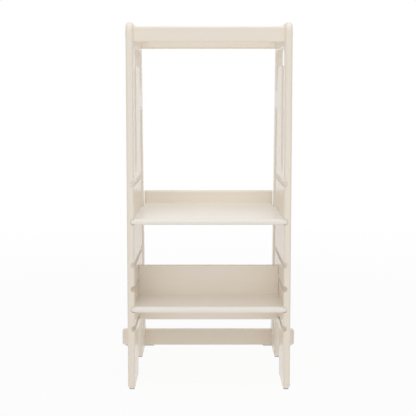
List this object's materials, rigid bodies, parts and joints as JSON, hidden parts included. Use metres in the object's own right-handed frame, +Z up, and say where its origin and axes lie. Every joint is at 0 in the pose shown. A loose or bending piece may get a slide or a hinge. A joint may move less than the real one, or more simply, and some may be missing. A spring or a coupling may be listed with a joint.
{
  "type": "toddler kitchen helper stool",
  "caption": "Toddler learning tower: routed side boards with top rails, a standing platform and a step in height-setting grooves, and an anti-tip bar at the rear.",
  "frame": {"origin": "on the floor, at the middle of the width and of the depth", "axes": "+X is the right-hand side seen from the front, -Y is the open front, +Z is up"},
  "size_m": [0.5, 0.453, 0.9],
  "materials": {
    "lacquered_wood": "satin cream lacquer",
    "steel_bolts": "zinc-plated",
    "zinc_nuts": "zinc-plated",
    "beech_dowels": "plain beech",
    "cap_plastic": "matt cream",
    "glide_rubber": "matt grey"
  },
  "bodies": {
    "frame": {"side_panel_left": "lacquered_wood", "side_panel_right": "lacquered_wood", "front_top_rail": "lacquered_wood", "rear_top_rail": "lacquered_wood", "stabiliser_bar": "lacquered_wood", "front_rail_bolts": "steel_bolts", "rear_rail_bolts": "steel_bolts", "stabiliser_bolts": "steel_bolts", "front_rail_barrel_nuts": "zinc_nuts", "rear_rail_barrel_nuts": "zinc_nuts", "stabiliser_barrel_nuts": "zinc_nuts", "front_rail_dowels": "beech_dowels", "rear_rail_dowels": "beech_dowels", "stabiliser_dowels": "beech_dowels", "bolt_caps_left": "cap_plastic", "bolt_caps_right": "cap_plastic", "front_foot_glides": "glide_rubber", "rear_foot_glides": "glide_rubber", "stabiliser_glides": "glide_rubber"},
    "platform": {"platform_board": "lacquered_wood", "platform_back_stop": "lacquered_wood", "platform_screws": "steel_bolts", "platform_dowels": "beech_dowels"},
    "step": {"step_board": "lacquered_wood", "step_riser": "lacquered_wood", "step_screws": "steel_bolts", "step_dowels": "beech_dowels"}
  },
  "joints": [
    {"name": "platform_slide", "type": "slide", "parent": "frame", "child": "platform", "axis": [0, -1, 0], "range_m": [0, 0.24]},
    {"name": "step_slide", "type": "slide", "parent": "frame", "child": "step", "axis": [0, -1, 0], "range_m": [0, 0.12]}
  ]
}
